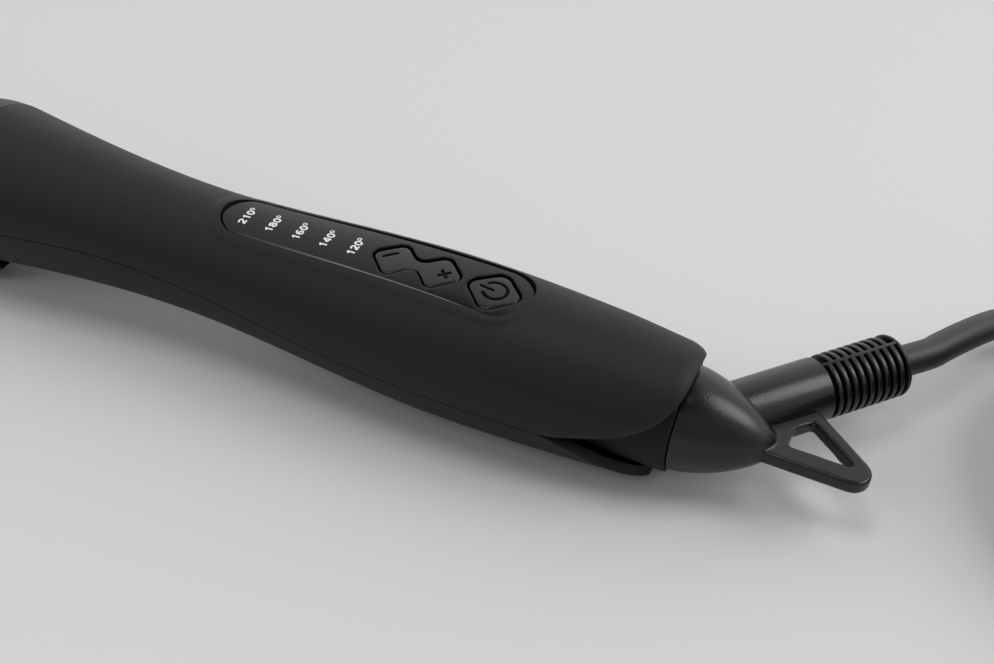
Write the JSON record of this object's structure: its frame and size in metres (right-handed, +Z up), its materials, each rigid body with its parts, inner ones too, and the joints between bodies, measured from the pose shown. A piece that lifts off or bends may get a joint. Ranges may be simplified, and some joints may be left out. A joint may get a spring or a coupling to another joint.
{
  "type": "conical curling wand",
  "caption": "Conical hair curling wand with a cool tip, a flip-out rest, a glossy control panel and a swivel cord outlet with a hanging loop; mains cord coiled.",
  "frame": {"origin": "under the middle of the tool without its cord, on the table it lies on", "axes": "+X along the wand towards the cord outlet, +Y away from a viewer who has the heated end on the left, +Z up; the wand itself points 2.56 degrees nose up"},
  "size_m": [0.5277, 0.1076, 0.0418],
  "materials": {
    "handle": "soft-touch matt, fine grain",
    "collar": "satin",
    "barrel": "smooth ceramic coating, satin",
    "insulator": "unglazed",
    "tip": "satin",
    "heater_metal": "as extruded",
    "element": "metallised faces",
    "mica": "thin, silky",
    "wire": "glass sleeve",
    "fuse": "plain",
    "sensor": "glazed bead",
    "panel": "piano gloss",
    "button": "gloss",
    "steel": "plain",
    "board": "solder mask",
    "switch": "satin",
    "led": "clear resin",
    "light_frame": "white, satin",
    "chip": "epoxy",
    "capacitor": "boxed",
    "varistor": "dipped",
    "nylon": "satin",
    "brass": "plain",
    "cap": "satin, fine texture",
    "cord": "smooth, satin",
    "rest": "satin",
    "pad": "matt",
    "strap": "matt",
    "plug": "satin",
    "contact": "nickel plated"
  },
  "bodies": {
    "handle": {"top_shell": "handle", "bottom_shell": "handle", "collar": "collar", "barrel": "barrel", "barrel_seat": "insulator", "cool_tip": "tip", "heat_spreader_upper": "heater_metal", "heat_spreader_lower": "heater_metal", "ceramic_elements": "element", "mica_sheets": "mica", "heater_wires": "wire", "thermal_fuse": "fuse", "thermistor": "sensor", "control_panel": "panel", "rocker_axle": "steel", "circuit_board": "board", "board_screws": "steel", "key_switches": "switch", "indicator_leds": "led", "light_frame": "light_frame", "controller_chip": "chip", "triac": "chip", "film_capacitor": "capacitor", "varistor": "varistor", "shell_screws": "steel", "swivel_neck": "handle", "neck_cover": "nylon", "contact_brushes": "brass", "supply_wires": "wire", "rest_pin": "steel"},
    "rocker": {"rocker_button": "button"},
    "power": {"power_button": "button"},
    "rest": {"flip_rest": "rest", "rest_pads": "pad"},
    "swivel": {"swivel_spindle": "nylon", "slip_rings": "brass", "swivel_cap": "cap", "strain_relief": "cap", "inner_cord": "cord", "cord_lead": "cord", "cord_coil": "cord", "cord_tail": "cord", "coil_tie": "strap", "plug_body": "plug", "plug_pins": "contact", "pin_sleeves": "plug"}
  },
  "joints": [
    {"name": "rocker_tilt", "type": "hinge", "parent": "handle", "child": "rocker", "pos_m": [0.09509, 0, 0.02941], "axis": [0, 1, 0], "range_deg": [-2.5, 2.5], "stiffness_Nm_per_rad": 0.25},
    {"name": "power_press", "type": "slide", "parent": "handle", "child": "power", "axis": [-0.0127, 0, -0.9999], "range_m": [0, 0.0004], "stiffness_N_per_m": 4000, "springref_m": -0.0001},
    {"name": "stand_fold", "type": "hinge", "parent": "handle", "child": "rest", "pos_m": [-0.02186, 0, 0.00215], "axis": [0, -1, 0], "range_deg": [0, 178]},
    {"name": "cord_swivel", "type": "hinge", "parent": "handle", "child": "swivel", "pos_m": [0.15486, 0, 0.01453], "axis": [0.999, 0, -0.0447], "continuous": true}
  ]
}
